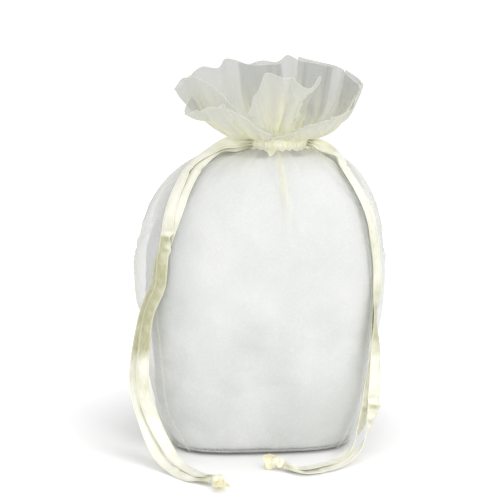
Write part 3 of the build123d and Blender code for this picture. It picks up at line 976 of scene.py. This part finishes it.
def ribbon_paths():
    """Waypoints of the four strands: a place, the plan direction of the ribbon's width and its tip, or 0."""
    left, right = NECK_X - 12.2, NECK_X + 15
    return {
        "left_over": [
            (left, -9.3, EXIT_Z + 0.8, -88, -74),
            (-12.5, -11, 154.2, -86, -66), (-20.5, -11.4, 152.6, -80, -42),
            *laid_all(OVER, (200, 143.5), (206.5, 133.5), (210.5, 123), (213, 112), (214, 100), (214.5, 87)),
            (-56.8, -34.5, 73, -38), (-59.4, -35.8, 56, -20), (-60, -37.6, 38, -6),
            (-55.6, -41.5, 22, 6), (-48, -47, 8, 28), (-42.5, -53, 2.4, 35),
            (-35, -65, 1.7, 38), (-27.6, -76.6, 3.6, 38)],
        "left_under": [
            (left, -8.8, EXIT_Z - 0.8, -88, -70),
            (-12.5, -10, 152, -86, -60), (-21, -11, 150.6, -78, -30),
            *laid_all(UNDER, (206.5, 142.5), (211.5, 132.5), (213.5, 122.5), (213.5, 112)),
            *laid_all(UNDER, (212, 100), (210.5, 88)),
            (-58.9, -31.6, 73, -38), (-62.2, -32, 56, -20), (-63.6, -33.6, 38, -6),
            (-60.2, -39.5, 22, 6), (-54.6, -47.5, 8, 28), (-48.5, -55.5, 2, 35),
            (-39, -68, 0.9, 38), (-28.8, -77.6, 2.8, 38)],
        "right_over": [
            (right, -5, EXIT_Z + 0.8, 88, 74), (30.5, -9, 151.8, 84, 55),
            *laid_all(OVER, (337, 147), (331.5, 142), (331.5, 131.5), (331, 120)),
            *laid_all(OVER, (331.5, 110), (331.5, 98), (331, 86)),
            (54.6, -34.2, 70, 74), (54.6, -36.6, 52, 38), (54, -39.6, 35, 12),
            (51.8, -43.5, 20, 34), (46, -49, 8, 84), (37.5, -53.5, 2.2, 112),
            (28.5, -60, 0.9, 112), (17, -65, 1.1, 98), (7.4, -59.6, 2.9, 76)],
        "right_under": [
            (right, -4.4, EXIT_Z - 0.8, 88, 70), (29.8, -8, 150.4, 84, 50),
            *laid_all(UNDER, (340, 146), (333.5, 141.5), (334.5, 131.5), (335, 120), (334, 110), (333.5, 98)),
            laid(332.5, 86, 1.4), (54.4, -32.2, 70, 66), (54.2, -34, 52, 44),
            (52.4, -36, 35, 12), (48.8, -40, 20, 34), (42.5, -45, 8, 84),
            (35.5, -49.5, 2.2, 112), (26.5, -55.5, 1.6, 112), (15.5, -60.5, 1.8, 98),
            (7.6, -58.4, 3.5, 76)],
    }


# Height and half the length of the band on each side where the satin turns away from the light, painted into
# its tint as shade.
SHADED = {"left": (80, 26), "right": (67, 10)}
# Curve points between one waypoint and the next.
FINENESS = 24


def ribbon_strip(name, path, first, last, kinks, seed):
    """Satin strip through some of a path's waypoints, crowned across, with kinks, gathered at its ends, and
    painted shade in its tint.
    """
    whole = curve_through([(*point, 0)[:5] for point in path], (len(path) - 1) * FINENESS + 1)
    centre, turn, tip = whole[:, :3], whole[:, 3], np.radians(whole[:, 4:])
    along = unit(np.gradient(centre, axis=0))
    across = plan_way(turn) * np.cos(tip) + np.array([0, 0, 1]) * np.sin(tip)
    across = unit(across - along * np.sum(across * along, axis=1, keepdims=True))
    normal = np.cross(along, across)
    from_exit = np.concatenate([[0], np.cumsum(np.linalg.norm(np.diff(centre, axis=0), axis=1))])[:, None]
    to_knot = from_exit[-1] - from_exit
    width = RIBBON_WIDTH * (0.42 + 0.58 * smooth(from_exit / 10)) * (0.4 + 0.6 * smooth(to_knot / 13))
    bunch = np.maximum(1 - smooth(from_exit / 11), 1 - smooth(to_knot / 13))
    u = np.linspace(-1, 1, 13)[None, :]
    crown = 0.28 * (1 - u ** 2) + 0.9 * bunch * np.cos(u * 6)
    roll = 0.35 * u * np.sin(from_exit / 17 + seed)
    swell = 0.22 * np.sin(from_exit / 4.3 + seed) * np.cos(u * 1.4 + seed)
    off = crown + roll + swell
    middle, reach = SHADED["left" if centre[0, 0] < 0 else "right"]
    # Painted shade in the tint: darker where the satin's face stands upright, in the SHADED band, in the
    # folds near the exit and the knot, and across the kinks.
    facing = smooth((0.45 - np.abs(normal[:, 2:])) / 0.3) * 0.25
    band = smooth((reach + 10 - np.abs(centre[:, 2:] - middle)) / 20)
    exit_fold_shade = (1 - smooth(from_exit / 34)) * (0.45 + 0.3 * np.sin(from_exit / 2.6 + seed))
    knot_fold_shade = (1 - smooth(to_knot / 26)) * (0.40 + 0.25 * np.sin(from_exit / 1.9 + seed))
    shade = band + facing + exit_fold_shade + knot_fold_shade + 0 * u
    for place, size in kinks:
        away = from_exit - from_exit[int(place * FINENESS)]
        off = off + bump(away, 3) * size * np.sin(away / 1.3 + 1.1) * (0.7 + 0.4 * u)
        # Painted shade and painted highlight in bands across each kink.
        dark = bump(away, 2.6) * abs(size) * 0.4 * np.sin(away / 0.9)
        shade = shade + dark * (0.8 + 0.5 * np.sin(3 * u + seed))
    grid = sweep(centre, across, normal, u * width / 2, off)
    uv = np.stack(np.broadcast_arrays((u + 1) / 2, from_exit), axis=-1)
    rows = slice(first * FINENESS, last * FINENESS + 1)
    strip = mesh_object(name, grid[rows], SATIN, uv=uv[rows], tint=np.clip(shade, 0, 1)[rows])
    return thicken(strip, RIBBON_THICKNESS)


def knot(name, centre, direction, size):
    """Small overhand knot tied in bunched ribbon."""
    t = np.linspace(0, 2 * np.pi, 120)
    x = (np.sin(t) + 2 * np.sin(2 * t)) / 3
    y = (np.cos(t) - 2 * np.cos(2 * t)) / 3
    z = -np.sin(3 * t) * 0.42
    turned = np.outer(x, plan_way(direction)) + np.outer(y, plan_way(direction + 90))
    path = (turned + np.outer(z, [0, 0, 1])) * size
    along = unit(np.gradient(path, axis=0))
    side = unit(np.cross(along, unit(path)))
    sides = full_turn(16)
    ripple = 1 + 0.16 * np.sin(sides * 5)[None, :] * np.sin(t * 3)[:, None]
    across, up = 1.8 * np.cos(sides) * ripple, np.sin(sides) * ripple
    grid = sweep(centre + path, side, np.cross(side, along), across, up)
    uv = np.stack(np.meshgrid(sides / (2 * np.pi), t * size), axis=-1)
    return mesh_object(name, grid, SATIN_END, uv=uv, tint=0.05, wrap=True)


def tail(start, direction, length, drop, tilt, seed):
    """Short free end of ribbon that leaves the knot, widens and sinks to the floor."""
    t = np.linspace(0, 1, 22)[:, None]
    u = np.linspace(-1, 1, 9)[None, :]
    lean = math.radians(tilt)
    across = plan_way(direction + 90) * math.cos(lean) + np.array([0, 0, math.sin(lean)])
    width = 1.2 + 1.9 * smooth(t * 1.5)
    slant = 0.9 * u * t ** 2
    grid = start + plan_way(direction) * (t * length + slant)[..., None] + across * (u * width)[..., None]
    grid[..., 2] += 0.5 * (1 - t) * np.cos(u * 5 + seed) + 0.35 * u * np.sin(t * 4 + seed) - drop * t ** 1.5
    grid[..., 2] = np.maximum(grid[..., 2], 0.4)
    uv = np.stack(np.broadcast_arrays((u + 1) / 2, t * length), axis=-1)
    tint = 0.50 + 0.3 * t + 0.2 * np.cos(u * 4 + seed)
    return thicken(mesh_object("tail", grid, SATIN_END, uv=uv, tint=tint), RIBBON_THICKNESS)


# Places of the creases along each strand, by waypoint, and how far they stand out.
KINKS = {
    "left_over": [(6.1, 1.5), (6.6, -1), (3.3, 0.4), (13.6, 0.5)],
    "left_under": [(8.4, 0.4), (14.2, 0.6), (3, 0.4)],
    "right_over": [(11.5, 1.7), (12, -1.3), (3, 0.4), (15.4, 0.5)],
    "right_under": [(11.7, 0.9), (14.6, 0.5)],
}
# The waypoints that each length of strand runs between, None being the last, and the CAD nodes it replaces.
LINKS = {"shoulder": (0, 6, ["shoulder"]), "side": (6, 11, ["upper", "side"]), "tip": (11, None, ["floor"])}


def build_strand(strand, path, seed):
    """One strand outside the casing, in lengths that meet where the ribbon's joints are."""
    side, place = strand.split("_")
    for link, (first, last, nodes) in LINKS.items():
        last = last or len(path) - 1
        piece = ribbon_strip(f"{side}_ribbon_{link}_{place}", path, first, last, KINKS[strand], seed)
        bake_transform(piece)
        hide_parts(*(f"{side}_ribbon_{node}" for node in nodes))


def build_knot(side, direction, tilt):
    """The knot that ties one side's two strands together, and their free ends."""
    centre = np.array(middle_mm(f"{side}_knot")) + np.array([0, 0, 0.4])
    tied = knot(f"{side}_tied_knot", centre, direction, 2.5)
    attach(tied, f"{side}_ribbon_tip", f"{side}_knot")
    way = plan_way(direction)
    free = join(f"{side}_free_ends", [
        tail(centre + way * 1.2 + np.array([0, 0, 0.9]), direction - 10, 6.4, 1.4, tilt, 1),
        tail(centre + way - np.array([0, 0, 0.3]), direction + 16, 5.4, 1, tilt - 8, 2.4),
    ])
    attach(free, f"{side}_ribbon_tip", f"{side}_knot_ends")


SETTLED = settle_body()
build_body()
build_seams()
build_base()
build_padding()
build_neck()
for seed, (strand, path) in enumerate(ribbon_paths().items()):
    build_strand(strand, path, seed)
build_knot("left", -86, 12)
build_knot("right", 160, 118)


# Stage


def floor_look():
    """Pale floor that brightens away from the pouch as the camera sees it."""
    n = Nodes("floor")
    place = n.place()
    base = n.mix(n.noise(place, 3), (0.95, 0.95, 0.95), (0.97, 0.97, 0.97))
    reach = n.add("ShaderNodeVectorMath", {0: place}, operation="LENGTH").outputs["Value"]
    seen = n.add("ShaderNodeLightPath").outputs["Is Camera Ray"]
    glow = n.times(n.range(reach, 0.055, 0.17, 0, 0.42), seen)
    surface = n.add("ShaderNodeBsdfDiffuse", {"Color": base}).outputs[0]
    light = n.add("ShaderNodeEmission", {"Color": (1, 1, 1, 1), "Strength": glow}).outputs[0]
    return n.finish(n.add("ShaderNodeAddShader", {0: surface, 1: light}).outputs[0])


def white_world():
    """White surroundings, a little brighter to the camera than to the pouch."""
    world = bpy.data.worlds.new("surroundings")
    world.use_nodes = True
    tree = world.node_tree
    strength = tree.nodes.new("ShaderNodeMapRange")
    strength.inputs["To Min"].default_value = 0.715
    strength.inputs["To Max"].default_value = 1.02
    background = tree.nodes["Background"].inputs
    background["Color"].default_value = (1, 1, 1, 1)
    tree.links.new(tree.nodes.new("ShaderNodeLightPath").outputs["Is Camera Ray"], strength.inputs["Value"])
    tree.links.new(strength.outputs[0], background["Strength"])
    return world


FLOOR_REACH = 4000
# Each lamp's place, its size and its power in watts. They all point at the middle of the pouch.
LAMPS = {
    "key": ((480, -620, 560), 380, 2.1),
    "fill": ((-220, -780, 200), 500, 1.3),
    "top": ((100, -160, 900), 500, 1.2),
}
LAMP_AIM = Vector((0, 0, 90))
# The photo's view: where the camera points, how far off it stands, its direction, height and lens.
CAMERA_AIM = Vector((-4.7, 0, 97.5))
CAMERA_DISTANCE = 750
CAMERA_AZIMUTH, CAMERA_ELEVATION = -4.5, math.radians(11)
CAMERA_LENS, CAMERA_SENSOR = 106, 36


def put(name, data, place, aim):
    """Object at a place in millimetres, pointing at another."""
    made = bpy.data.objects.new(name, data)
    made.location = place * MM
    made.rotation_euler = (aim - place).to_track_quat("-Z", "Y").to_euler()
    bpy.context.scene.collection.objects.link(made)
    return made


def build_stage():
    """Pale floor, white surroundings, soft lights and the camera."""
    ends = (-FLOOR_REACH, FLOOR_REACH)
    grid = np.array([[(x, y, 0) for x in ends] for y in ends], float)
    mesh_object("floor", grid, floor_look())
    bpy.context.scene.world = white_world()
    bpy.context.scene.view_settings.view_transform = "Standard"
    for name, (place, size, power) in LAMPS.items():
        lamp = bpy.data.lights.new(name, "AREA")
        lamp.size = size * MM
        lamp.energy = power
        put(name, lamp, Vector(place), LAMP_AIM)
    camera = bpy.data.cameras.new("camera")
    camera.lens = CAMERA_LENS
    camera.sensor_width = CAMERA_SENSOR
    way = Vector(plan_way(CAMERA_AZIMUTH - 90)) * math.cos(CAMERA_ELEVATION)
    way.z = math.sin(CAMERA_ELEVATION)
    bpy.context.scene.camera = put("camera", camera, CAMERA_AIM + way * CAMERA_DISTANCE, CAMERA_AIM)


build_stage()
